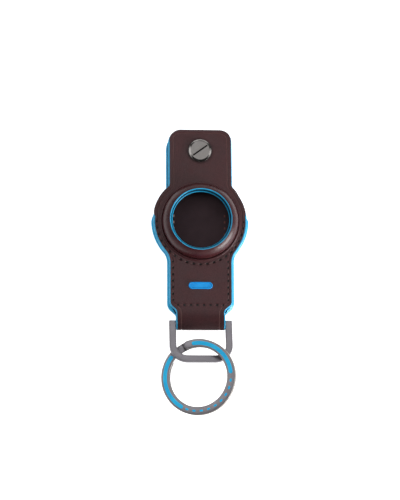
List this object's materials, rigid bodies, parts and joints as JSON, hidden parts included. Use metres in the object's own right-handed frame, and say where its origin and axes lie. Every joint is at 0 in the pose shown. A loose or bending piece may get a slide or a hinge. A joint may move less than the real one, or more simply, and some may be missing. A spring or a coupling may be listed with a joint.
{
  "type": "tracker tag holder",
  "caption": "Leather key fob with a domed, windowed pocket for a coin-shaped tracker tag, closed by a slotted binding screw and hung on a D-ring with a split key ring.",
  "frame": {"origin": "on the dome's axis, in the outer face of the back leather, which the holder lies on", "axes": "+Z out of the front along the dome's axis, +Y along the holder towards the screw flap, +X to the right seen from the front"},
  "size_m": [0.045, 0.1329, 0.0138],
  "materials": {
    "leather": "smooth, semi-gloss, dark brown",
    "lining": "smooth, matt, dark brown",
    "inner_ring": "moulded, dark",
    "edge_paint": "glossy blue edge paint",
    "thread": "waxed dark brown thread",
    "screw_metal": "satin nickel",
    "ring_metal": "satin gunmetal plating",
    "enamel": "glossy blue enamel",
    "badge": "satin blue rubber-like relief"
  },
  "bodies": {
    "holder": {"front_panel": "leather", "front_lining": "lining", "dome_inner_ring": "inner_ring", "front_edge_paint": "edge_paint", "window_edge_paint": "edge_paint", "strap_fold": "leather", "strap_fold_edge_paint": "edge_paint", "back_panel": "leather", "back_lining": "lining", "back_edge_paint": "edge_paint", "side_stitching": "thread", "root_stitching": "thread", "dome_stitching": "thread", "front_badge": "badge"},
    "back_flap": {"back_flap": "leather", "back_flap_lining": "lining", "back_flap_edge_paint": "edge_paint"},
    "post": {"binding_post": "screw_metal"},
    "screw": {"binding_screw": "screw_metal"},
    "d_ring": {"d_ring": "ring_metal"},
    "key_ring": {"split_ring": "ring_metal", "enamel_first_arc": "enamel", "enamel_second_arc": "enamel", "enamel_marks": "enamel"}
  },
  "joints": [
    {"name": "flap_open", "type": "hinge", "parent": "holder", "child": "back_flap", "pos_m": [0, 0.003, 0], "axis": [-1, 0, 0], "range_deg": [0, 75]},
    {"name": "screw_turn", "type": "hinge", "parent": "holder", "child": "screw", "pos_m": [0, 0.0333, 0.004], "axis": [0, 0, 1], "range_deg": [0, 1080]},
    {"name": "post_travel", "type": "slide", "parent": "back_flap", "child": "post", "axis": [0, 0, -1], "range_m": [0, 0.0021]},
    {"name": "d_ring_swing", "type": "hinge", "parent": "holder", "child": "d_ring", "pos_m": [0, -0.04778, 0.00265], "axis": [-1, 0, 0], "range_deg": [-105, 120]},
    {"name": "key_ring_spin", "type": "hinge", "parent": "d_ring", "child": "key_ring", "pos_m": [-0.0013, -0.07232, 0.00689], "axis": [-0.3215, 0, 0.9469], "continuous": true}
  ],
  "couplings": [
    {"joint": "screw_turn", "follows": "post_travel", "rad_per_m": 8976}
  ]
}
